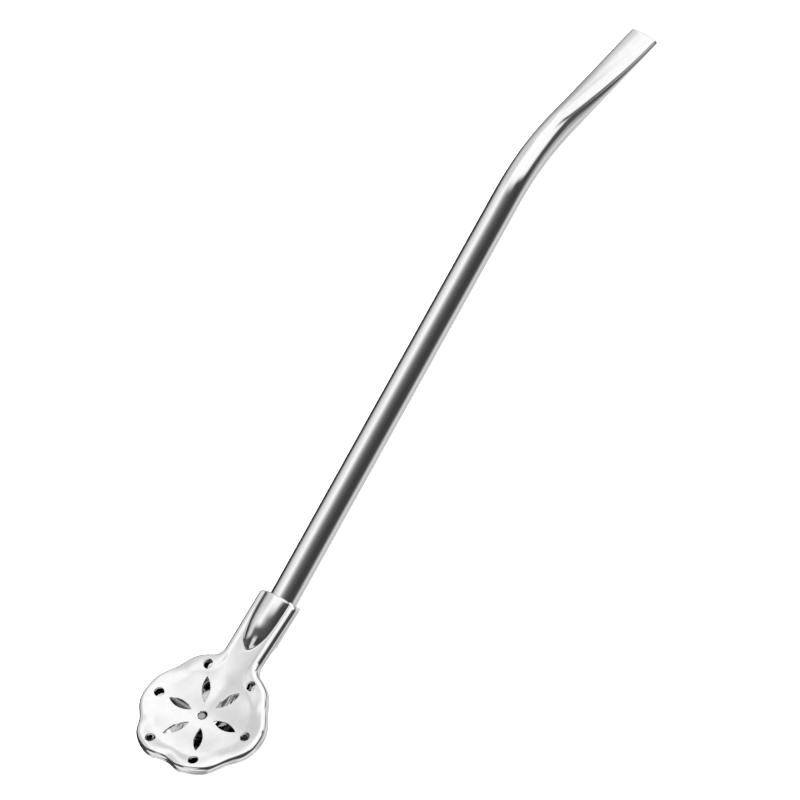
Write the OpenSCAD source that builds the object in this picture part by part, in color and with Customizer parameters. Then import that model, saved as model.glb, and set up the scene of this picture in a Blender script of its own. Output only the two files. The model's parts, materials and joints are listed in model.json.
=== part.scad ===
// Bombilla: a steel drinking straw for mate with a flower-pierced filter head.
// It lies on its back on the plane z = 0, flower side up, with the stem along +X.
// Each piece is drawn in the stem's frame (x up the stem from the socket's mouth, z to the flower side)
// and then laid down at the angle at which the socket and the mouthpiece both touch the plane.

/* [Stem] */
// Outside diameter of the tube
tube_d = 6; // [5:0.1:8]
// Wall of the tube
tube_wall = 0.5; // [0.3:0.05:0.8]
// Straight run from the socket's mouth to the bend
straight_len = 94.7; // [60:0.1:150]
// Length of tube inside the socket
insert_len = 8.5; // [8:0.1:10]
// Radius of the bend, to the middle of the tube
bend_r = 42; // [25:1:70]
// Angle of the bend, away from the flower side
bend_angle = 26; // [10:1:40]

/* [Mouthpiece] */
// Length from the bend to the tip
mouth_len = 28.3; // [15:0.1:45]
// Width across the flattened tip
tip_w = 7; // [6.2:0.1:9]
// Thickness of the flattened tip
tip_t = 2; // [1.6:0.1:4]

/* [Filter head] */
// Thickness of the sheet of both shells
sheet = 0.45; // [0.3:0.05:0.6]
// Distance along the plate from the socket's mouth to the middle of the flower
flower_dist = 29.2; // [26:0.1:36]
// Mean radius of the oval that the lobes reach
head_r = 14.35; // [14:0.05:16.5]
// How much wider than long the oval is, on the radius
head_oval = 0.7; // [0:0.02:1]
// Depth of the notches between the lobes
notch_h = 1; // [0:0.05:1.2]
// Share by which the notches are deeper away from the neck
notch_bias = 0.3; // [0:0.05:0.6]
// Depth of the soft flutes that run in from the notches
flute_h = 0.25; // [0:0.05:0.5]
// Half the width of the neck where it joins the head
neck_half_w = 4.7; // [4.5:0.05:6]
// Flare of the neck on each side, from the head to the mouth
neck_flare = 0.3; // [0.1:0.05:0.5]
// Radius of the neck's two corners at the mouth
neck_corner = 0.9; // [0.5:0.05:1]
// Radius of the fillet where the neck joins the head
neck_fillet = 2.6; // [1.5:0.1:5]
// Height of the rim of each shell, from its face to the seam
rim_h = 1.25; // [1.2:0.05:1.6]
// Radius of the rim's corner round the flower
rim_r = 0.7; // [0.65:0.05:0.9]
// Radius of the rim's corner along the neck
neck_rim_r = 1.15; // [0.9:0.05:1.2]
// Height of the brim that stands round the front plate
brim_h = 0.15; // [0:0.05:0.4]
// Gap at the seam between the two rims
seam = 0.1; // [0.05:0.01:0.3]
// Depth of the back bowl behind its own rim
bowl_h = 4.4; // [2:0.1:6]

/* [Side curve of the head] */
// Height of the plate in front of the tube's axis, at the mouth
mouth_height = 2.2; // [1.8:0.05:2.4]
// Slope of the plate along the neck
neck_slope = 5.8; // [4:0.1:8]
// Length of the straight stretch along the neck
neck_straight = 18.6; // [16:0.1:24]
// Radius of the spoon curve beyond it
spoon_r = 54.7; // [40:0.5:90]

/* [Socket] */
// Clearance round the tube in the socket
socket_gap = 0.05; // [0.03:0.01:0.1]
// Wall of the socket round the tube, at the mouth
socket_wall = 1.05; // [0.8:0.05:1.2]
// Length of the socket's bore up to its ball end
socket_len = 9; // [8.6:0.1:10]
// Taper of the socket's radius on the back
back_taper = 0.4; // [0.1:0.05:0.5]
// Length of the bulge on the flower side up to its ball end
bulge_len = 10.5; // [9.5:0.1:12]
// Radius of the bulge's ball end
bulge_end_r = 2.95; // [2.75:0.05:3.3]

/* [Flower] */
// Petals in the flower, with one round hole outside each
petal_count = 6; // [6:1:6]
// Radius of the ring of round holes
hole_ring_r = 11.65; // [10.5:0.05:12]
// Diameter of the round holes
hole_d = 2.2; // [1.4:0.1:2.4]
// Radius of the ring of petals
petal_ring_r = 6; // [5.5:0.1:6.5]
// Length of a petal
petal_len = 6; // [4:0.1:6.4]
// Width of a petal
petal_w = 1.9; // [1:0.1:2.4]

/* [Hidden] */

$fn = 96;
eps = 0.01;
big = 400;
tube_r = tube_d / 2;
socket_r = tube_r + socket_gap;
socket_out_r = socket_r + socket_wall;
back_end_r = socket_out_r - back_taper;

// Steps of the lofts
rim_steps = 4;
neck_steps = 4;
corner_steps = 3;
fillet_steps = 4;
lobe_step = 5;
front_shares = [0.94, 0.86, 0.78, 0.5];
back_shares = [0.85, 0.7, 0.55, 0.4, 0.25];
mouth_rings = 8;
mouth_sides = 32;
collar = 0.5;
over = 2;

// Level of the back's face behind the plate, and where the bowl starts and is full along the plate
back_face = 2 * rim_h + seam;
bowl_from = 10;
bowl_to = 26;

// Shares of the outline between which the front plate drops from the brim
brim_from = 0.95;
brim_to = 0.77;

// Side curve: slope, place along the stem and height at a distance s along the plate
function slope(s) = neck_slope + max(0, s - neck_straight) / spoon_r * 180 / PI;
function side_x(s) =
    -min(s, neck_straight) * cos(neck_slope) - spoon_r * (sin(slope(s)) - sin(neck_slope));
function side_z(s) =
    mouth_height + min(s, neck_straight) * sin(neck_slope)
    + spoon_r * (cos(neck_slope) - cos(slope(s)));

// Point of the head: a towards the stem and b to the left of the flower's middle, drop behind the face
function on_plate(a, b, drop) =
    let (s = flower_dist - a)
    [side_x(s) - drop * sin(slope(s)), b, side_z(s) - drop * cos(slope(s))];

// Outline of the head: lobed radius at an angle from the stem, drawn in by an inset
petal_pitch = 360 / petal_count;
function notch(t) = pow((1 - cos(petal_count * (t - petal_pitch / 2))) / 2, 2);
function notch_in(t) = notch_h * (1 - notch_bias * cos(t)) * notch(t);
function oval_r(t) = head_r - head_oval * cos(2 * t);
function lobed_r(t, inset) = oval_r(t) - notch_in(t) - inset;

// The fillet between neck and head, tangent to both
fillet_b = neck_half_w + neck_fillet;
function tangent_t(t) =
    atan2(fillet_b, sqrt(pow(lobed_r(t, 0) + neck_fillet, 2) - pow(fillet_b, 2)));
fillet_t = tangent_t(tangent_t(petal_pitch / 2));
fillet_a = sqrt(pow(lobed_r(fillet_t, 0) + neck_fillet, 2) - pow(fillet_b, 2));

// Half the width of the neck at a, which flares to the mouth and ends in round corners
function corner_cut(s) =
    s >= neck_corner ? 0 : neck_corner - sqrt(pow(neck_corner, 2) - pow(neck_corner - max(0, s), 2));
function neck_w(a) =
    neck_half_w + neck_flare * (a - fillet_a) / (flower_dist - fillet_a) - corner_cut(flower_dist - a);

// Stations down the left side of the outline, from past the mouth to the bottom: [kind, value]
top_a = flower_dist + over;
neck_a = flower_dist - neck_corner;
lobe_end = 180 - lobe_step / 2;
lobe_stations = floor((lobe_end - fillet_t) / lobe_step);
stations = concat(
    [["neck", top_a]],
    [for (i = [0:corner_steps - 1]) ["neck", neck_a + neck_corner * cos(90 * i / corner_steps)]],
    [for (i = [0:neck_steps]) ["neck", neck_a + (fillet_a - neck_a) * i / neck_steps]],
    [for (i = [1:fillet_steps]) ["fillet", (90 - fillet_t) * i / (fillet_steps + 1)]],
    [for (i = [0:lobe_stations]) ["lobe", fillet_t + (lobe_end - fillet_t) * i / lobe_stations]]);
half_count = len(stations);
ring_count = 2 * half_count;

// Point of the outline at a station, drawn in by an inset
function edge_point(st, inset) =
    st[0] == "neck" ? [st[1], neck_w(st[1]) - inset]
    : st[0] == "fillet" ? [fillet_a, fillet_b] - (neck_fillet + inset) * [sin(st[1]), cos(st[1])]
    : lobed_r(st[1], inset) * [cos(st[1]), sin(st[1])];

// Radius of the rim's corner at a station
function corner_r(st) =
    st[0] == "neck" ? neck_rim_r
    : st[0] == "fillet" ? neck_rim_r + (rim_r - neck_rim_r) * st[1] / (90 - fillet_t)
    : rim_r;

// Point of the plate at a station, on the outline shrunk to a share f, where the notches fade out
function lobe_point(t, f) =
    (f * (oval_r(t) - rim_r) - max(0, 2 * f - 1) * notch_in(t)) * [cos(t), sin(t)];
function plate_point(st, f) =
    st[0] == "lobe" ? lobe_point(st[1], f)
    : let (
        p = edge_point(st, corner_r(st)),
        outer = lobe_point(fillet_t, 1),
        inner = lobe_point(fillet_t, f))
    [inner[0] + (p[0] - outer[0]) * (top_a - inner[0]) / (top_a - outer[0]),
        p[1] * inner[1] / outer[1]];

// Soft flutes of the front plate, which run in from the notches
function flute(st, f) =
    st[0] != "lobe" ? 0
    : flute_h * notch(st[1]) * pow(max(0, 2 * f - 1), 2);

// Height of the front plate's brim, which falls to the plate between two shares of the outline
function fade(u) = let (v = min(1, max(0, u))) v * v * (3 - 2 * v);
function brim(f) = brim_h * (1 - fade((brim_from - f) / (brim_from - brim_to)));

// Depth of the back bowl, which fades out along the neck
function bowl(p, f) =
    bowl_h * pow(1 - f * f, 1.5) * fade((flower_dist - p[0] - bowl_from) / (bowl_to - bowl_from));

// Points of one skin, ring by ring: up the rim from the seam, round its corner, then in over the plate.
// depth is the skin's own depth in the sheet: 0 outside and the whole sheet inside.
rim_angles = [for (i = [0:rim_steps]) 90 - 90 * i / rim_steps];
function mirrored(left) =
    concat(left, [for (i = [len(left) - 1:-1:0]) [left[i][0], -left[i][1], left[i][2]]]);
function seam_ring(depth, drop) =
    mirrored([for (st = stations) let (p = edge_point(st, depth)) on_plate(p[0], p[1], drop)]);
function corner_inset(st, v, depth) = corner_r(st) - (corner_r(st) - depth) * sin(v);
function corner_drop(st, v, depth) = corner_r(st) - (corner_r(st) - depth) * cos(v);
function front_skin(depth) = concat(
    [seam_ring(depth, rim_h)],
    [for (v = rim_angles) mirrored([for (st = stations)
        let (p = edge_point(st, corner_inset(st, v, depth)))
        on_plate(p[0], p[1], corner_drop(st, v, depth) - brim_h + flute(st, 1) * cos(v))])],
    [for (f = front_shares) mirrored([for (st = stations)
        let (p = plate_point(st, f))
        on_plate(p[0], p[1], depth - brim(f) + flute(st, f))])]);
function back_skin(depth) = concat(
    [seam_ring(depth, rim_h + seam)],
    [for (v = rim_angles) mirrored([for (st = stations)
        let (p = edge_point(st, corner_inset(st, v, depth)))
        on_plate(p[0], p[1], back_face - corner_drop(st, v, depth))])],
    [for (f = back_shares) mirrored([for (st = stations)
        let (p = plate_point(st, f))
        on_plate(p[0], p[1], back_face - depth + bowl(p, f))])]);

front_outer = front_skin(0);
front_inner = front_skin(sheet);
back_outer = back_skin(0);
back_inner = back_skin(sheet);

// One sheet between two skins of the same rings, closed along the rim and at the neck's end
function flat(lists) = [for (l = lists) for (e = l) e];
function quad(a, b, c, d) = [[a, b, c], [a, c, d]];
module sheet_loft(outer, inner, flip) {
    rings = len(outer);
    n = ring_count;
    base = rings * n;
    skin = flat([for (k = [0:rings - 2]) for (i = [0:n - 2])
        quad(k * n + i, k * n + i + 1, (k + 1) * n + i + 1, (k + 1) * n + i)]);
    last = (rings - 1) * n;
    rungs = flat([for (i = [0:half_count - 2])
        quad(last + i, last + i + 1, last + n - 2 - i, last + n - 1 - i)]);
    face = concat(skin, rungs);
    back = [for (t = face) [base + t[2], base + t[1], base + t[0]]];
    rim = flat([for (i = [0:n - 2]) quad(base + i, base + i + 1, i + 1, i)]);
    end = concat([for (k = [0:rings - 1]) k * n], [for (k = [rings - 1:-1:0]) k * n + n - 1]);
    cap = flat([for (i = [0:len(end) - 2])
        quad(base + end[i + 1], base + end[i], end[i], end[i + 1])]);
    all = concat(face, back, rim, cap);
    polyhedron(
        points = concat(flat(outer), flat(inner)),
        faces = flip ? [for (t = all) [t[2], t[1], t[0]]] : all,
        convexity = 8);
}

// Place on the plate, with the local z out of the front face
module at_plate(a, b) {
    s = flower_dist - a;
    translate([side_x(s), b, side_z(s)]) rotate([0, slope(s), 0]) children();
}

// Cutters of the flower: a hole in the middle, then petals and outer holes
module petal_outline() {
    arc_r = (pow(petal_len / 2, 2) + pow(petal_w / 2, 2)) / petal_w;
    intersection() {
        translate([0, arc_r - petal_w / 2]) circle(r = arc_r);
        translate([0, petal_w / 2 - arc_r]) circle(r = arc_r);
    }
}
module flower_cut(from, to) {
    at_plate(0, 0) translate([0, 0, -to]) cylinder(d = hole_d, h = to - from);
    for (i = [0:petal_count - 1]) {
        t = petal_pitch * (i + 0.5);
        at_plate(hole_ring_r * cos(t), hole_ring_r * sin(t))
            translate([0, 0, -to]) cylinder(d = hole_d, h = to - from);
        at_plate(petal_ring_r * cos(t), petal_ring_r * sin(t))
            translate([0, 0, -to]) rotate([0, 0, t])
            linear_extrude(height = to - from) petal_outline();
    }
}

// Space in front of a level of the neck's plate, and space behind it
module before_level(drop) {
    at_plate(flower_dist, 0) translate([-big / 2, -big / 2, -drop]) cube([big, big, big]);
}
module behind_level(drop) {
    at_plate(flower_dist, 0) translate([-big / 2, -big / 2, -drop - big]) cube([big, big, big]);
}

// The socket's round body and the bore for the tube, which both have a ball end
module socket_body(mouth_r, end_r, length) {
    past_r = mouth_r + (mouth_r - end_r) * over / length;
    translate([-length, 0, 0]) rotate([0, 90, 0]) cylinder(r1 = end_r, r2 = past_r, h = length + over);
    translate([-length, 0, 0]) sphere(r = end_r);
}
module socket_bore() {
    translate([-socket_len, 0, 0]) rotate([0, 90, 0]) cylinder(r = socket_r, h = socket_len + over);
    translate([-socket_len, 0, 0]) sphere(r = socket_r);
}
module past_mouth() {
    translate([0, -big / 2, -big / 2]) cube([big, big, big]);
}

// Lay-down: the line that touches the socket's ball end and the tip's back edge becomes the plane
function bend_point(angle) =
    [straight_len + bend_r * sin(angle), 0, -bend_r * (1 - cos(angle))];
mouth_dir = [cos(bend_angle), 0, -sin(bend_angle)];
mouth_up = [sin(bend_angle), 0, cos(bend_angle)];
tip = bend_point(bend_angle) + mouth_len * mouth_dir;
tip_back = tip - tip_t / 2 * mouth_up;
tip_front = tip + tip_t / 2 * mouth_up;
ball = [-socket_len, 0, 0];
reach = tip_back - ball;
lie = atan2(-reach[2], reach[0]) - asin(back_end_r / norm(reach));
function turned(p) = [p[0] * cos(lie) - p[2] * sin(lie), p[1], p[0] * sin(lie) + p[2] * cos(lie)];
x_high = max(turned(tip_back)[0], turned(tip_front)[0]);
x_low = min([for (p = concat(flat(front_outer), flat(back_outer))) turned(p)[0]]);
lift = back_end_r - turned(ball)[2];
module rest() {
    translate([-(x_high + x_low) / 2, 0, lift]) rotate([0, -lie, 0]) children();
}

// Mouthpiece: rounded sections that pass from the round tube to the flat tip
function section(w, t, n) =
    [for (i = [0:n - 1])
        let (u = 360 * i / n, c = cos(u), v = sin(u))
        [(w - t) / 2 * sign(c) * pow(abs(c), 0.5 + 0.5 * t / w) + t / 2 * c, t / 2 * v]];
// The first ring is a short collar set into the end of the bend, a hair under the tube's own size.
function mouth_ring(k, wall) =
    let (
        u = max(0, k - 1) / mouth_rings,
        start = tube_d - eps,
        w = start + (tip_w - start) * sin(90 * u) - 2 * wall,
        t = start + (tip_t - start) * sin(90 * u) - 2 * wall,
        along = k == 0 ? -collar : u * mouth_len,
        middle = bend_point(bend_angle) + along * mouth_dir)
    [for (q = section(w, t, mouth_sides)) middle + [0, q[0], 0] + q[1] * mouth_up];

// The stem: straight tube, bend and mouthpiece, open from end to end
module stem() {
    color([0.78, 0.79, 0.8]) rest() union() {
        difference() {
            translate([-insert_len, 0, 0]) rotate([0, 90, 0])
                cylinder(r = tube_r, h = insert_len + straight_len);
            translate([-insert_len - 1, 0, 0]) rotate([0, 90, 0])
                cylinder(r = tube_r - tube_wall, h = insert_len + straight_len + 2);
        }
        translate([straight_len, 0, -bend_r]) rotate([-90, 0, 0]) rotate([0, 0, -90])
            rotate_extrude(angle = bend_angle)
            translate([bend_r, 0]) difference() {
                circle(r = tube_r);
                circle(r = tube_r - tube_wall);
            }
        mouthpiece();
    }
}
module mouthpiece() {
    n = mouth_sides;
    k1 = mouth_rings + 1;
    base = (k1 + 1) * n;
    outer = flat([for (k = [0:k1]) mouth_ring(k, 0)]);
    inner = flat([for (k = [0:k1]) mouth_ring(k, tube_wall)]);
    skin = flat([for (k = [0:k1 - 1]) for (i = [0:n - 1])
        let (j = (i + 1) % n)
        quad(k * n + i, (k + 1) * n + i, (k + 1) * n + j, k * n + j)]);
    lining = [for (t = skin) [base + t[2], base + t[1], base + t[0]]];
    ends = flat([for (i = [0:n - 1])
        let (j = (i + 1) % n)
        concat(
            quad(base + i, i, j, base + j),
            quad(k1 * n + i, base + k1 * n + i, base + k1 * n + j, k1 * n + j))]);
    polyhedron(points = concat(outer, inner), faces = concat(skin, lining, ends), convexity = 6);
}

// The front shell: flower plate, rolled rim and the front of the socket
module front_shell() {
    color([0.86, 0.87, 0.88]) rest() difference() {
        union() {
            sheet_loft(front_outer, front_inner, true);
            intersection() {
                rotate([0, neck_slope, 0]) socket_body(socket_out_r, bulge_end_r, bulge_len);
                before_level(sheet / 2);
            }
        }
        socket_bore();
        past_mouth();
        flower_cut(-1, rim_h);
    }
}

// The back shell: bowl, rolled rim and the back of the socket
module back_shell() {
    color([0.7, 0.71, 0.72]) rest() difference() {
        union() {
            sheet_loft(back_outer, back_inner, false);
            intersection() {
                socket_body(socket_out_r, back_end_r, socket_len);
                behind_level(back_face - sheet / 2);
            }
        }
        socket_bore();
        past_mouth();
        flower_cut(rim_h, back_face + bowl_h + 2);
    }
}

stem();
front_shell();
back_shell();
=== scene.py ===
import json
import math

import bmesh
import bpy
from mathutils import Matrix, Vector


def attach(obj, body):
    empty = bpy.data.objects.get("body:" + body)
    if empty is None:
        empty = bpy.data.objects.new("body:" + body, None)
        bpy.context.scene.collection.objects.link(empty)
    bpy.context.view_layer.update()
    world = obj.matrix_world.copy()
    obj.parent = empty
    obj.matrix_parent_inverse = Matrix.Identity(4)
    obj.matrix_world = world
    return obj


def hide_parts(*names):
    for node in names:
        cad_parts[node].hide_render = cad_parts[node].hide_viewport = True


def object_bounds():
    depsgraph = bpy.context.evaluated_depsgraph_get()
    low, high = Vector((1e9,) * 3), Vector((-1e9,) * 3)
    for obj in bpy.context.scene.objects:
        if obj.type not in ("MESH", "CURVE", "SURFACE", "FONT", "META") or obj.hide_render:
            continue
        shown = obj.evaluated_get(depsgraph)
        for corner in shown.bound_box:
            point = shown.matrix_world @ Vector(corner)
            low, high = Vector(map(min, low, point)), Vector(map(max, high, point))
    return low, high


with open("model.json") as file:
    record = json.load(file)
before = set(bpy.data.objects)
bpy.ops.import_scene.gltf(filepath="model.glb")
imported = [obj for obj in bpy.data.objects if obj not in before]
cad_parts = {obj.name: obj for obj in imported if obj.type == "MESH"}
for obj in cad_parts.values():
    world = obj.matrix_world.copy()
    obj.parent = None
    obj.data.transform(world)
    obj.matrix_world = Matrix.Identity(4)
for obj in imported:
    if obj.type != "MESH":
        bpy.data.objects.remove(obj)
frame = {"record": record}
cad_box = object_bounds()

# Bombilla: a steel mate straw that lies on its back, flower side up.
# Shapes are worked out in millimetres in the stem's own frame: x up the stem from the socket's
# mouth, y to the left of the flower face, z towards the flower side. to_row() places them in the row,
# which is the part's own frame in metres.
MM = 0.001

# Stem
TUBE_R = 3.0
TUBE_WALL = 0.5
STRAIGHT_LEN = 94.7
INSERT_LEN = 8.5
BEND_R = 42.0
BEND_ANGLE = math.radians(26)
MOUTH_LEN = 28.3
TIP_W = 7.0
TIP_T = 2.0
# Share of the mouthpiece over which its flattening starts softly
FLATTEN_EASE = 0.08
# Power of the cosine in the flattest section: less than 1 makes its sides fuller than an oval's
FLAT_POWER = 0.5
BEND_LEN = BEND_R * BEND_ANGLE
STEM_LEN = STRAIGHT_LEN + BEND_LEN + MOUTH_LEN

# Filter head
SHEET = 0.45
FLOWER_DIST = 29.2
HEAD_R = 14.35
HEAD_OVAL = 0.7
NOTCH_H = 1.0
NOTCH_BIAS = 0.3
FLUTE_H = 0.25
NECK_HALF_W = 4.7
NECK_FLARE = 0.3
NECK_CORNER = 0.9
NECK_FILLET = 2.6
RIM_H = 1.25
RIM_R = 0.95
NECK_RIM_R = 1.15
BRIM_H = 0.15
BRIM_FROM = 0.95
BRIM_TO = 0.77
DISH_H = 0.4
SEAM = 0.1
BOWL_H = 4.4
BOWL_CURVE = 1.5
BOWL_FROM = 10.0
BOWL_TO = 26.0
MOUTH_HEIGHT = 2.2
NECK_SLOPE = math.radians(5.8)
NECK_STRAIGHT = 18.6
SPOON_R = 54.7
SOCKET_R = 3.05
SOCKET_OUT_R = 4.1
SOCKET_LEN = 9.0
BACK_TAPER = 0.4
BULGE_REACH = 14.3
BULGE_CURVE = 2.6
SOCKET_BLEND = 0.2
LIP_R = 0.35

# Flower
PETALS = 6
HOLE_RING_R = 11.65
HOLE_D = 2.2
PETAL_RING_R = 6.0
PETAL_LEN = 6.0
PETAL_W = 1.9

# Sides of the head, as the signs of their directions
FRONT = 1
BACK = -1

BACK_FACE = 2 * RIM_H + SEAM
PETAL_PITCH = 2 * math.pi / PETALS

# Place of the stem's frame in the row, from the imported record
grip = frame["record"]["mounts"][0]
joints = {joint["name"]: joint for joint in frame["record"]["behaviour"]["joints"]}
ALONG = Vector(grip["axis"]).normalized()
FACING = Vector(joints["front_lift"]["axis"]).normalized()
LEFT = FACING.cross(ALONG)
MOUTH = Vector(grip["pos_m"]) - ALONG * (STRAIGHT_LEN / 2 * MM)


def turn(v):
    """A direction of the stem's frame, in the row."""
    return v[0] * ALONG + v[1] * LEFT + v[2] * FACING


def to_row(p):
    """A point of the stem's frame in millimetres, in the row in metres."""
    return MOUTH + turn(p) * MM


def smooth_step(u):
    """A share from 0 to 1 that starts and ends level."""
    v = min(1.0, max(0.0, u))
    return v * v * (3 - 2 * v)


def smooth_max(a, b, k):
    """The larger of two heights, with a fillet of about k between them."""
    return max(a, b) + max(k - abs(a - b), 0.0) ** 2 / (4 * k)


# Side curve and outline of the head

def slope(s):
    """Angle of the plate to the stem at a distance along it from the socket's mouth."""
    return NECK_SLOPE + max(0.0, s - NECK_STRAIGHT) / SPOON_R


def on_plate(a, b, drop):
    """Point at a towards the stem and b to the left of the flower's middle, drop behind the face."""
    s = FLOWER_DIST - a
    t = slope(s)
    run = min(s, NECK_STRAIGHT)
    x = -run * math.cos(NECK_SLOPE) - SPOON_R * (math.sin(t) - math.sin(NECK_SLOPE))
    z = MOUTH_HEIGHT + run * math.sin(NECK_SLOPE) + SPOON_R * (math.cos(NECK_SLOPE) - math.cos(t))
    return Vector((x - drop * math.sin(t), b, z - drop * math.cos(t)))


def notch(t):
    """Share of a notch's depth at an angle round the flower: 1 between two petals, 0 at a petal."""
    return ((1 - math.cos(PETALS * (t - PETAL_PITCH / 2))) / 2) ** 2


def notch_in(t):
    """Depth of the notches of the outline, which are shallower towards the stem."""
    return NOTCH_H * (1 - NOTCH_BIAS * math.cos(t)) * notch(t)


def oval_r(t):
    """Radius of the outline without its notches."""
    return HEAD_R - HEAD_OVAL * math.cos(2 * t)


def lobed_r(t, inset):
    """Radius of the lobed outline, drawn in by an inset."""
    return oval_r(t) - notch_in(t) - inset


# The fillet between the neck and the lobes: a few passes settle the angle at which it meets the lobes
FILLET_PASSES = 3
FILLET_B = NECK_HALF_W + NECK_FILLET


def fillet_reach(t):
    """How far towards the stem the fillet's middle lies, if it meets the lobes at an angle."""
    return math.sqrt((lobed_r(t, 0) + NECK_FILLET) ** 2 - FILLET_B ** 2)


FILLET_T = PETAL_PITCH / 2
for _ in range(FILLET_PASSES):
    FILLET_T = math.atan2(FILLET_B, fillet_reach(FILLET_T))
FILLET_A = fillet_reach(FILLET_T)


def spread(first, last, steps):
    """Evenly spaced values from first to last."""
    return [first + (last - first) * i / steps for i in range(steps + 1)]


NECK_STEPS = 40
CORNER_STEPS = 8
FILLET_STEPS = 10
LOBE_STEPS = 104
# The lobes end about half a step before the head's tip, where they meet their mirror image
LOBE_END = math.pi * (1 - 0.5 / LOBE_STEPS)
NECK_A = FLOWER_DIST - NECK_CORNER
STATIONS = (
    [("neck", NECK_A + NECK_CORNER * math.cos(u)) for u in spread(0, math.pi / 2, CORNER_STEPS)[:-1]]
    + [("neck", a) for a in spread(NECK_A, FILLET_A, NECK_STEPS)]
    + [("fillet", u) for u in spread(0, math.pi / 2 - FILLET_T, FILLET_STEPS)[1:-1]]
    + [("lobe", t) for t in spread(FILLET_T, LOBE_END, LOBE_STEPS)]
)


def neck_w(a):
    """Half the width of the neck, which flares to the mouth and ends in round corners."""
    w = NECK_HALF_W + NECK_FLARE * (a - FILLET_A) / (FLOWER_DIST - FILLET_A)
    if a > NECK_A:
        w -= NECK_CORNER - math.sqrt(max(0.0, NECK_CORNER ** 2 - (a - NECK_A) ** 2))
    return w


def corner_r(station):
    """Radius of the rim's corner: round along the neck, tighter round the flower."""
    kind, value = station
    if kind == "neck":
        return NECK_RIM_R
    if kind == "fillet":
        return NECK_RIM_R + (RIM_R - NECK_RIM_R) * value / (math.pi / 2 - FILLET_T)
    return RIM_R


def edge_point(station, inset):
    """Point of the outline at a station, drawn in by an inset."""
    kind, value = station
    if kind == "neck":
        return value, neck_w(value) - inset
    if kind == "fillet":
        r = NECK_FILLET + inset
        return FILLET_A - r * math.sin(value), FILLET_B - r * math.cos(value)
    r = lobed_r(value, inset)
    return r * math.cos(value), r * math.sin(value)


def lobe_point(t, f):
    """Point of the plate at an angle round the flower, on the outline shrunk to a share f."""
    r = f * (oval_r(t) - RIM_R) - max(0.0, 2 * f - 1) * notch_in(t)
    return r * math.cos(t), r * math.sin(t)


def plate_point(station, f):
    """Point of the plate at a station, on the outline shrunk to a share f, where the notches fade out."""
    kind, value = station
    if kind == "lobe":
        return lobe_point(value, f)
    a, b = edge_point(station, corner_r(station))
    outer = lobe_point(FILLET_T, 1.0)
    inner = lobe_point(FILLET_T, f)
    stretch = (FLOWER_DIST - inner[0]) / (FLOWER_DIST - outer[0])
    return inner[0] + (a - outer[0]) * stretch, b * inner[1] / outer[1]


def flute(station, f):
    """Depth of the soft flutes that run in from the notches of the front plate."""
    kind, value = station
    if kind != "lobe":
        return 0.0
    return FLUTE_H * notch(value) * max(0.0, 2 * f - 1) ** 2


def brim(f):
    """Height of the front plate's brim, which falls to the plate between two shares of the outline."""
    return BRIM_H * (1 - smooth_step((BRIM_FROM - f) / (BRIM_FROM - BRIM_TO)))


def past_neck(a):
    """Share from 0 on the neck to 1 on the flower, by which the sheets are dished."""
    return smooth_step((FLOWER_DIST - a - BOWL_FROM) / (BOWL_TO - BOWL_FROM))


def dish(a, f):
    """Depth of the front plate's slight dish."""
    return DISH_H * (1 - f * f) * past_neck(a)


def bowl(a, f):
    """Depth of the back bowl."""
    return BOWL_H * (1 - f * f) ** BOWL_CURVE * past_neck(a)


def lip(run):
    """How far the rounded lip of the socket's mouth falls in, at a run from the mouth."""
    return LIP_R - math.sqrt(LIP_R ** 2 - max(0.0, LIP_R - max(0.0, run)) ** 2)


def round_height(run, b, mouth_r, end_r, length):
    """Height over its axis of a tapered round body with a ball end, at a run from the mouth."""
    r = mouth_r + (end_r - mouth_r) * min(1.0, max(0.0, run / length))
    square = r * r - b * b - max(0.0, run - length) ** 2
    return math.sqrt(square) if square > 0 else None


def bulge_height(run, b):
    """Height over its axis of the pressed bulge, which falls off ever faster towards its nose."""
    fall = min(1.0, max(0.0, run / BULGE_REACH)) ** BULGE_CURVE
    r = SOCKET_OUT_R * math.sqrt(1 - fall) - lip(run)
    square = r * r - b * b
    return math.sqrt(square) if square > 0 else None


def socket_height(x, b, side, depth):
    """Height over the tube's axis of the bore, of the bulge on the front or of the socket on the back."""
    if depth > 0:
        return round_height(-x, b, SOCKET_R, SOCKET_R, SOCKET_LEN)
    if side == BACK:
        return round_height(-x, b, SOCKET_OUT_R, SOCKET_OUT_R - BACK_TAPER, SOCKET_LEN)
    h = bulge_height(-x, b)
    return None if h is None else h - x * math.tan(NECK_SLOPE)


def with_socket(p, side, depth):
    """The sheet drawn out round the tube, to the front or to the back."""
    h = socket_height(p.x, p.y, side, depth)
    if h is not None:
        p.z = side * smooth_max(side * p.z, h, SOCKET_BLEND)
    return p


RIM_STEPS = 10
RIM_ANGLES = spread(math.pi / 2, 0, RIM_STEPS)
PLATE_STEPS = 40
# The rings of a face end at a narrow slit, which one row of faces closes
LAST_SHARE = 0.02
SHARES = spread(1.0, LAST_SHARE, PLATE_STEPS)[1:]


def rim_point(station, v, side, depth):
    """Point of the rim's corner at an angle from the plate's own direction."""
    r = corner_r(station)
    a, b = edge_point(station, r - (r - depth) * math.sin(v))
    into = r - (r - depth) * math.cos(v)
    if side == FRONT:
        p = on_plate(a, b, into - BRIM_H + flute(station, 1.0) * math.cos(v))
    else:
        p = on_plate(a, b, BACK_FACE - into)
    return with_socket(p, side, depth) if into < SHEET + depth else p


def face_point(station, f, side, depth):
    """Point of a shell's face at a station, on the outline shrunk to a share f."""
    a, b = plate_point(station, f)
    if side == FRONT:
        drop = depth - brim(f) + dish(a, f) + flute(station, f)
    else:
        drop = BACK_FACE - depth + bowl(a, f)
    return with_socket(on_plate(a, b, drop), side, depth)


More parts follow.
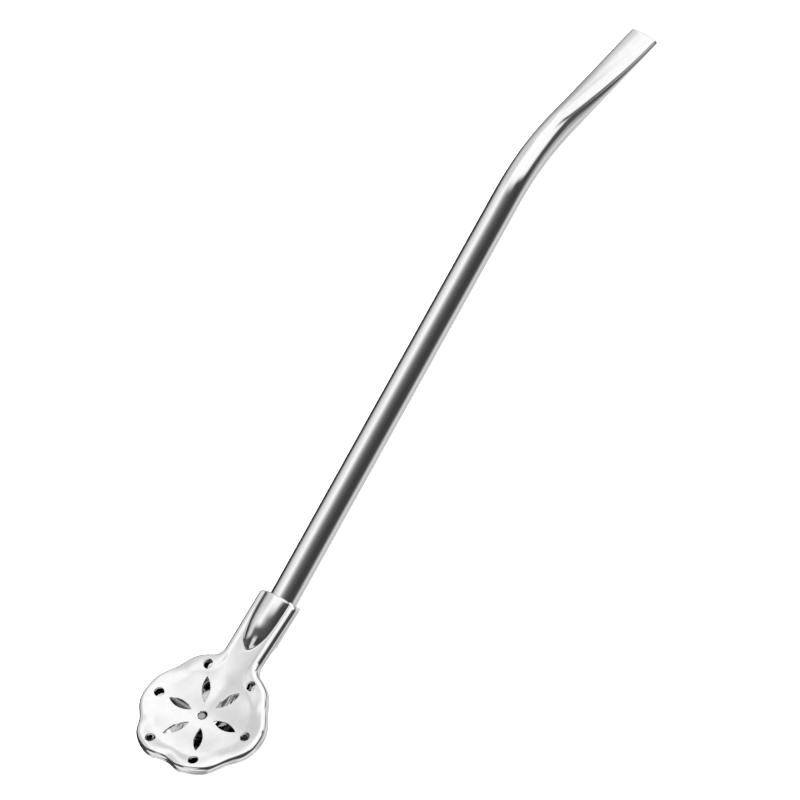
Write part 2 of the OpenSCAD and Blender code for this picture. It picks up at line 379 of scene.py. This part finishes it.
def skin(side, depth):
    """Rings of one skin: up the rim from the seam, round its corner, then in over the plate."""
    seam = RIM_H if side == FRONT else RIM_H + SEAM
    rings = [[on_plate(*edge_point(station, depth), seam) for station in STATIONS]]
    rings += [[rim_point(station, v, side, depth) for station in STATIONS] for v in RIM_ANGLES]
    rings += [[face_point(station, f, side, depth) for station in STATIONS] for f in SHARES]
    for ring in rings:
        ring[0].x = 0.0
    return [ring + [Vector((p.x, -p.y, p.z)) for p in reversed(ring)] for ring in rings]


def sheet_mesh(name, outer, inner):
    """One sheet between two skins of the same rings, closed along the rim and at the socket's mouth."""
    rings = len(outer)
    n = len(outer[0])
    base = rings * n
    points = [to_row(p) for rows in (outer, inner) for ring in rows for p in ring]
    faces = []
    for k in range(rings - 1):
        for i in range(n - 1):
            faces.append((k * n + i, k * n + i + 1, (k + 1) * n + i + 1, (k + 1) * n + i))
    last = (rings - 1) * n
    for i in range(n // 2 - 1):
        faces.append((last + i, last + i + 1, last + n - 2 - i, last + n - 1 - i))
    faces += [tuple(base + i for i in reversed(face)) for face in faces]
    faces += [(base + i, base + i + 1, i + 1, i) for i in range(n - 1)]
    end = [k * n for k in range(rings)] + [k * n + n - 1 for k in reversed(range(rings))]
    for i, j in zip(end, end[1:]):
        faces.append((base + j, base + i, i, j))
    return mesh_object(name, points, faces)


def mesh_object(name, points, faces):
    """A new object with its faces turned outwards."""
    mesh = bpy.data.meshes.new(name)
    mesh.from_pydata(points, [], faces)
    work = bmesh.new()
    work.from_mesh(mesh)
    bmesh.ops.recalc_face_normals(work, faces=work.faces)
    work.to_mesh(mesh)
    work.free()
    piece = bpy.data.objects.new(name, mesh)
    bpy.context.scene.collection.objects.link(piece)
    return piece


def bake_modifiers(piece):
    """Replaces a piece's mesh by what its modifiers make of it."""
    graph = bpy.context.evaluated_depsgraph_get()
    made = bpy.data.meshes.new_from_object(piece.evaluated_get(graph))
    piece.modifiers.clear()
    old = piece.data
    piece.data = made
    bpy.data.meshes.remove(old)


# Cutters of the flower

ARC_STEPS = 24
HOLE_SIDES = 56
FRONT_CUT_OVER = 1.0
BACK_CUT_OVER = 2.0


def circle_outline():
    """Outline of a round hole about its own middle."""
    return [
        (HOLE_D / 2 * math.cos(t), HOLE_D / 2 * math.sin(t))
        for t in spread(0, 2 * math.pi, HOLE_SIDES)[:-1]
    ]


def petal_outline(turned):
    """Lens between two equal arcs, turned to point away from the flower's middle."""
    arc_r = (PETAL_LEN ** 2 + PETAL_W ** 2) / (4 * PETAL_W)
    half = math.asin(PETAL_LEN / 2 / arc_r)
    rise = arc_r - PETAL_W / 2
    upper = [(arc_r * math.sin(t), arc_r * math.cos(t) - rise) for t in spread(-half, half, ARC_STEPS)]
    lower = [(u, -w) for u, w in reversed(upper[1:-1])]
    c = math.cos(turned)
    s = math.sin(turned)
    return [(u * c - w * s, u * s + w * c) for u, w in upper + lower]


def flower_cutter(name, near, far):
    """Prisms square to the plate at each opening, from near to far behind the face."""
    openings = [((0.0, 0.0), circle_outline())]
    for i in range(PETALS):
        t = PETAL_PITCH * (i + 0.5)
        way = (math.cos(t), math.sin(t))
        openings.append(((HOLE_RING_R * way[0], HOLE_RING_R * way[1]), circle_outline()))
        openings.append(((PETAL_RING_R * way[0], PETAL_RING_R * way[1]), petal_outline(t)))
    points = []
    faces = []
    for (a, b), outline in openings:
        t = slope(FLOWER_DIST - a)
        up_stem = Vector((math.cos(t), 0, -math.sin(t)))
        out = Vector((math.sin(t), 0, math.cos(t)))
        start = len(points)
        n = len(outline)
        for level in (near, far):
            for u, w in outline:
                p = on_plate(a, b, 0) + u * up_stem + Vector((0, w, 0)) - level * out
                points.append(to_row(p))
        for i in range(n):
            j = (i + 1) % n
            faces.append((start + i, start + j, start + n + j, start + n + i))
        faces.append(tuple(start + i for i in range(n)))
        faces.append(tuple(start + n + i for i in reversed(range(n))))
    return mesh_object(name, points, faces)


# Width and facets of the eased edges, and how sharp an edge has to be to be eased or to show as one
EDGE_ROUND = 0.15
EDGE_SEGMENTS = 3
EDGE_ANGLE = math.radians(55)
SHARP_ANGLE = math.radians(35)


def finish_sheet(piece, cutter):
    """Pierces the flower and rounds the edges that the press leaves."""
    cut = piece.modifiers.new("pierce", "BOOLEAN")
    cut.operation = "DIFFERENCE"
    cut.solver = "EXACT"
    cut.object = cutter
    bake_modifiers(piece)
    bpy.data.objects.remove(cutter)
    ease = piece.modifiers.new("ease", "BEVEL")
    ease.width = EDGE_ROUND * MM
    ease.segments = EDGE_SEGMENTS
    ease.limit_method = "ANGLE"
    ease.angle_limit = EDGE_ANGLE
    ease.use_clamp_overlap = True
    bake_modifiers(piece)
    piece.data.shade_smooth()
    piece.data.set_sharp_from_angle(angle=SHARP_ANGLE)


def front_shell():
    piece = sheet_mesh("filter_front", skin(FRONT, 0.0), skin(FRONT, SHEET))
    finish_sheet(piece, flower_cutter("front_cut", -FRONT_CUT_OVER, RIM_H))
    return piece


def back_shell():
    piece = sheet_mesh("filter_back", skin(BACK, 0.0), skin(BACK, SHEET))
    finish_sheet(piece, flower_cutter("back_cut", RIM_H, BACK_FACE + BOWL_H + BACK_CUT_OVER))
    return piece


# The stem: one tube swept along its middle line, flattened towards the tip

TUBE_SIDES = 128
STRAIGHT_STEPS = 24
BEND_STEPS = 40
MOUTH_STEPS = 48
END_STEPS = 10


def eased(u):
    """A share that starts to grow softly, so that the tube runs into the mouthpiece without a crease."""
    return math.sqrt(u * u + FLATTEN_EASE ** 2) - FLATTEN_EASE


def stem_section(d):
    """Middle, direction out of the flower side, width and thickness at a distance along the stem."""
    turn_by = BEND_ANGLE * min(1.0, max(0.0, (d - STRAIGHT_LEN) / BEND_LEN))
    x = min(d, STRAIGHT_LEN) + BEND_R * math.sin(turn_by)
    z = -BEND_R * (1 - math.cos(turn_by))
    on = max(0.0, d - STRAIGHT_LEN - BEND_LEN)
    ahead = Vector((math.cos(turn_by), 0, -math.sin(turn_by)))
    out = Vector((math.sin(turn_by), 0, math.cos(turn_by)))
    flattened = math.sin(math.pi / 2 * min(1.0, eased(on / MOUTH_LEN) / eased(1.0)))
    width = 2 * TUBE_R + (TIP_W - 2 * TUBE_R) * flattened
    thick = 2 * TUBE_R + (TIP_T - 2 * TUBE_R) * flattened
    return Vector((x, 0, z)) + on * ahead, out, width, thick


def stem_ring(d, inset):
    """Ring of points round the stem at a distance along it, drawn in by an inset."""
    middle, out, width, thick = stem_section(d)
    w = width - 2 * inset
    t = thick - 2 * inset
    ring = []
    for i in range(TUBE_SIDES):
        turned = 2 * math.pi * i / TUBE_SIDES
        c = math.cos(turned)
        flat = math.copysign(abs(c) ** (FLAT_POWER + (1 - FLAT_POWER) * t / w), c)
        side = (w - t) / 2 * flat + t / 2 * c
        ring.append(to_row(middle + Vector((0, side, 0)) + out * (t / 2 * math.sin(turned))))
    return ring


def stem():
    """The tube's outside from the socket to the tip, back along its bore, with both ends rounded."""
    end_r = TUBE_WALL / 2
    start = -INSERT_LEN + end_r
    tip = STEM_LEN - end_r
    stations = spread(start, STRAIGHT_LEN, STRAIGHT_STEPS)
    stations += spread(STRAIGHT_LEN, STRAIGHT_LEN + BEND_LEN, BEND_STEPS)[1:]
    stations += spread(STRAIGHT_LEN + BEND_LEN, tip, MOUTH_STEPS)[1:]
    end_angles = spread(0, math.pi, END_STEPS)[1:-1]
    profile = [(d, 0.0) for d in stations]
    profile += [(tip + end_r * math.sin(v), end_r - end_r * math.cos(v)) for v in end_angles]
    profile += [(d, TUBE_WALL) for d in reversed(stations)]
    profile += [(start - end_r * math.sin(v), end_r + end_r * math.cos(v)) for v in end_angles]
    points = [p for d, inset in profile for p in stem_ring(d, inset)]
    faces = []
    n = TUBE_SIDES
    for k in range(len(profile)):
        k2 = (k + 1) % len(profile)
        for i in range(n):
            j = (i + 1) % n
            faces.append((k * n + i, k * n + j, k2 * n + j, k2 * n + i))
    piece = mesh_object("straw_tube", points, faces)
    piece.data.shade_smooth()
    return piece


# Materials

TUBE_COLOR = (0.82, 0.82, 0.82)
SHELL_COLOR = (0.82, 0.82, 0.825)
# Grain per metre along the row's axes: drawn out along the straw on the tube, even on the shells
TUBE_GRAIN = (40.0, 1500.0, 1500.0)
SHELL_GRAIN = (700.0, 700.0, 700.0)
GRAIN_DETAIL = 4.0
GRAIN_DARK = 0.95
GRAIN_BUMP = 0.08
GRAIN_DEPTH = 0.02
HAZE_SCALE = 90.0
HAZE_DETAIL = 3.0
# The part of a noise's range that is spread over a tint or a roughness
NOISE_LOW = 0.3
NOISE_HIGH = 0.7
ROUGH_LOW = 0.035
ROUGH_HIGH = 0.07
FLOOR_COLOR = (0.93, 0.93, 0.93, 1.0)
FLOOR_ROUGH = 0.9


def new_material(name):
    material = bpy.data.materials.new(name)
    material.use_nodes = True
    return material, material.node_tree.nodes["Principled BSDF"]


def polished_steel(name, color, grain_scale):
    """Mirror-polished stainless steel: a faint grain in tint and relief, and a haze that varies the gloss."""
    material, shader = new_material(name)
    nodes = material.node_tree.nodes
    links = material.node_tree.links
    shader.inputs["Metallic"].default_value = 1.0
    place = nodes.new("ShaderNodeTexCoord")
    stretch = nodes.new("ShaderNodeMapping")
    stretch.inputs["Scale"].default_value = grain_scale
    grain = nodes.new("ShaderNodeTexNoise")
    grain.inputs["Scale"].default_value = 1.0
    grain.inputs["Detail"].default_value = GRAIN_DETAIL
    haze = nodes.new("ShaderNodeTexNoise")
    haze.inputs["Scale"].default_value = HAZE_SCALE
    haze.inputs["Detail"].default_value = HAZE_DETAIL
    rough = nodes.new("ShaderNodeMapRange")
    rough.inputs["From Min"].default_value = NOISE_LOW
    rough.inputs["From Max"].default_value = NOISE_HIGH
    rough.inputs["To Min"].default_value = ROUGH_LOW
    rough.inputs["To Max"].default_value = ROUGH_HIGH
    tint = nodes.new("ShaderNodeValToRGB")
    tint.color_ramp.elements[0].position = NOISE_LOW
    tint.color_ramp.elements[0].color = [c * GRAIN_DARK for c in color] + [1.0]
    tint.color_ramp.elements[1].position = NOISE_HIGH
    tint.color_ramp.elements[1].color = list(color) + [1.0]
    bump = nodes.new("ShaderNodeBump")
    bump.inputs["Strength"].default_value = GRAIN_BUMP
    bump.inputs["Distance"].default_value = GRAIN_DEPTH * MM
    links.new(place.outputs["Object"], stretch.inputs["Vector"])
    links.new(stretch.outputs["Vector"], grain.inputs["Vector"])
    links.new(place.outputs["Object"], haze.inputs["Vector"])
    links.new(haze.outputs["Fac"], rough.inputs["Value"])
    links.new(grain.outputs["Fac"], tint.inputs["Fac"])
    links.new(grain.outputs["Fac"], bump.inputs["Height"])
    links.new(rough.outputs["Result"], shader.inputs["Roughness"])
    links.new(tint.outputs["Color"], shader.inputs["Base Color"])
    links.new(bump.outputs["Normal"], shader.inputs["Normal"])
    return material


def pale_floor():
    material, shader = new_material("floor_white")
    shader.inputs["Base Color"].default_value = FLOOR_COLOR
    shader.inputs["Roughness"].default_value = FLOOR_ROUGH
    shader.inputs["Specular IOR Level"].default_value = 0.0
    return material


# Pieces on their bodies

tube_steel = polished_steel("tube_steel", TUBE_COLOR, TUBE_GRAIN)
shell_steel = polished_steel("shell_steel", SHELL_COLOR, SHELL_GRAIN)

for piece, node, material, slot in (
    (stem(), "stem", tube_steel, "tube_steel"),
    (front_shell(), "front_shell", shell_steel, "shell_steel"),
    (back_shell(), "back_shell", shell_steel, "shell_steel"),
):
    piece.data.materials.clear()
    piece.data.materials.append(material)
    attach(piece, node)
    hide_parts(node)


# Floor, light and camera

# Half the floor's side, in metres
FLOOR_HALF = 3.0
floor_z = cad_box[0][2]
floor = mesh_object(
    "floor",
    [Vector((x * FLOOR_HALF, y * FLOOR_HALF, floor_z)) for x, y in ((-1, -1), (1, -1), (1, 1), (-1, 1))],
    [(0, 1, 2, 3)],
)
floor.data.materials.append(pale_floor())
floor.visible_glossy = False

# Directions of the photograph's view in the stem's frame, the width that it takes in, and where its middle
# lies from the socket's mouth, in millimetres. The camera's distance and reach are in metres.
VIEW_RIGHT = Vector((0.485, -0.758, -0.435))
VIEW_UP = Vector((0.873, 0.392, 0.290))
FRAME_MM = 164.4
AIM_RIGHT = 23.98
AIM_UP = 41.05
CAMERA_DIST = 6.0
CAMERA_REACH = 20.0

right = turn(VIEW_RIGHT).normalized()
back = right.cross(turn(VIEW_UP)).normalized()
up = back.cross(right)
aim = to_row(AIM_RIGHT * VIEW_RIGHT + AIM_UP * VIEW_UP)
view_turn = Matrix((right, up, back)).transposed().to_4x4()

camera_data = bpy.data.cameras.new("camera")
camera_data.sensor_fit = "HORIZONTAL"
camera_data.lens = camera_data.sensor_width * CAMERA_DIST / (FRAME_MM * MM)
camera_data.clip_end = CAMERA_REACH
camera = bpy.data.objects.new("camera", camera_data)
bpy.context.scene.collection.objects.link(camera)
camera.matrix_world = Matrix.Translation(aim + back * CAMERA_DIST) @ view_turn
bpy.context.scene.camera = camera


# Distance and side of the soft light in metres, and its power in watts
FILL_DIST = 2.0
FILL_SIZE = 1.6
FILL_POWER = 150.0


def view_fill():
    """A square soft light on the viewer's side, which lights the floor and isn't mirrored by the steel."""
    data = bpy.data.lights.new("view_fill", "AREA")
    data.shape = "SQUARE"
    data.size = FILL_SIZE
    data.energy = FILL_POWER
    light = bpy.data.objects.new("view_fill", data)
    bpy.context.scene.collection.objects.link(light)
    light.matrix_world = Matrix.Translation(aim + back * FILL_DIST) @ view_turn
    light.visible_camera = False
    light.visible_glossy = False


view_fill()

# Across the tube: straight at the viewer, and to the viewer's right
across = (back - back.dot(ALONG) * ALONG).normalized()
rightward = ALONG.cross(across)

# The studio round the object, which the steel mirrors, in zones from behind the head to beyond the
# mouthpiece. A stop is an angle in degrees round the tube, from the viewer to the viewer's right, and a
# brightness, where 1 is white. The stops are set to give the bands of light and dark that the
# photographed steel shows.
BEHIND_HEAD = ((-180, 0.95), (-60, 0.95), (20, 1.05), (60, 1.00), (85, 0.45), (130, 0.45), (165, 0.90))
NOSE_LIGHT = (
    (-180, 0.04), (-125, 0.05), (-100, 0.12), (-60, 0.07), (-46, 0.10), (-38, 0.85), (-20, 0.80), (-10, 0.06),
    (60, 0.05), (80, 0.60), (110, 1.00), (180, 0.90),
)
HEAD_SIDE = (
    (-180, 0.04), (-112, 0.05), (-98, 0.60), (-78, 0.90), (-58, 0.14), (60, 0.05), (80, 0.60), (110, 1.00),
    (180, 0.90),
)
LEVEL_WALLS = (
    (-180, 0.05), (-150, 0.04), (-122, 0.07), (-108, 0.50), (-92, 0.76), (-60, 1.12), (-50, 1.18),
    (-42, 1.05), (-33, 0.70), (-24, 0.44), (-8, 0.18), (10, 0.10), (35, 0.055), (70, 0.07), (82, 0.34),
    (93, 0.74), (102, 0.80), (120, 0.62), (168, 0.80),
)
NECK_WALLS = (
    (-180, 0.10), (-135, 0.14), (-110, 0.60), (-85, 0.80), (-66, 0.75), (-54, 1.18), (-8, 1.10),
    (5, 0.35), (15, 0.07), (62, 0.06), (78, 0.45), (100, 0.85), (180, 0.60),
)
PLATE_WALL = (
    (-180, 0.30), (-130, 0.40), (-100, 0.78), (-74, 0.76), (-68, 0.88), (-62, 1.14), (-45, 1.25), (20, 1.20),
    (31, 0.95), (40, 0.09), (63, 0.09), (71, 0.42), (80, 0.45), (105, 0.85), (180, 0.70),
)
FAR_WALL = (
    (-180, 0.45), (-130, 0.50), (-104, 0.84), (-86, 0.84), (-78, 0.95), (-70, 1.20), (-45, 1.25), (20, 1.20),
    (29, 0.95), (37, 0.09), (57, 0.09), (65, 0.42), (80, 0.45), (105, 0.85), (180, 0.70),
)
TIP_WALL = (
    (-180, 0.50), (-130, 0.60), (-104, 0.98), (-84, 1.20), (-14, 1.22), (4, 0.45), (13, 0.09), (46, 0.09),
    (54, 0.40), (65, 0.50), (105, 0.85), (180, 0.80),
)
BEYOND_TIP = (
    (-180, 0.30), (-120, 0.40), (-92, 0.85), (-70, 1.20), (5, 1.20), (45, 0.95), (75, 0.30), (110, 0.20),
    (180, 0.30),
)
# Each zone takes over from the one before between two shares of the way along the stem, from -1 straight
# back past the head to 1 straight on past the mouthpiece.
ZONES = (
    (None, None, BEHIND_HEAD),
    (-0.80, -0.68, NOSE_LIGHT),
    (-0.32, -0.18, HEAD_SIDE),
    (-0.10, 0.02, LEVEL_WALLS),
    (0.06, 0.22, NECK_WALLS),
    (0.17, 0.27, PLATE_WALL),
    (0.42, 0.56, FAR_WALL),
    (0.65, 0.74, TIP_WALL),
    (0.75, 0.82, BEYOND_TIP),
)


FULL_TURN = 360
RAMP_MIDDLE = 0.5


def brightness_ramp(nodes, stops):
    """A ramp over one turn round the tube, with the viewer at its middle."""
    ramp = nodes.new("ShaderNodeValToRGB")
    elements = ramp.color_ramp.elements
    while len(elements) < len(stops):
        elements.new(RAMP_MIDDLE)
    for element, (angle, level) in zip(elements, stops):
        element.position = angle / FULL_TURN + RAMP_MIDDLE
        element.color = (level, level, level, 1.0)
    return ramp


def studio_surround():
    """The world's light by direction: a ramp for each zone, blended along the stem."""
    world = bpy.data.worlds.new("studio")
    world.use_nodes = True
    nodes = world.node_tree.nodes
    links = world.node_tree.links
    way = nodes.new("ShaderNodeTexCoord")

    def along(direction):
        dot = nodes.new("ShaderNodeVectorMath")
        dot.operation = "DOT_PRODUCT"
        dot.inputs[1].default_value = direction
        links.new(way.outputs["Generated"], dot.inputs[0])
        return dot.outputs["Value"]

    def share(value, first, last):
        spread_out = nodes.new("ShaderNodeMapRange")
        spread_out.inputs["From Min"].default_value = first
        spread_out.inputs["From Max"].default_value = last
        links.new(value, spread_out.inputs["Value"])
        return spread_out

    angle = nodes.new("ShaderNodeMath")
    angle.operation = "ARCTAN2"
    links.new(along(rightward), angle.inputs[0])
    links.new(along(across), angle.inputs[1])
    turn_share = share(angle.outputs["Value"], -math.pi, math.pi)
    up_stem = along(ALONG)
    color = None
    for first, last, stops in ZONES:
        ramp = brightness_ramp(nodes, stops)
        links.new(turn_share.outputs["Result"], ramp.inputs["Fac"])
        if color is None:
            color = ramp.outputs["Color"]
            continue
        reach = share(up_stem, first, last)
        reach.interpolation_type = "SMOOTHSTEP"
        walls = nodes.new("ShaderNodeMix")
        walls.data_type = "RGBA"
        before, after = [s for s in walls.inputs if s.type == "RGBA"]
        links.new(reach.outputs["Result"], walls.inputs["Factor"])
        links.new(color, before)
        links.new(ramp.outputs["Color"], after)
        color = [s for s in walls.outputs if s.type == "RGBA"][0]
    links.new(color, nodes["Background"].inputs["Color"])
    bpy.context.scene.world = world


studio_surround()

# Plain sRGB, so that a fully lit floor comes out white
bpy.context.scene.view_settings.view_transform = "Standard"
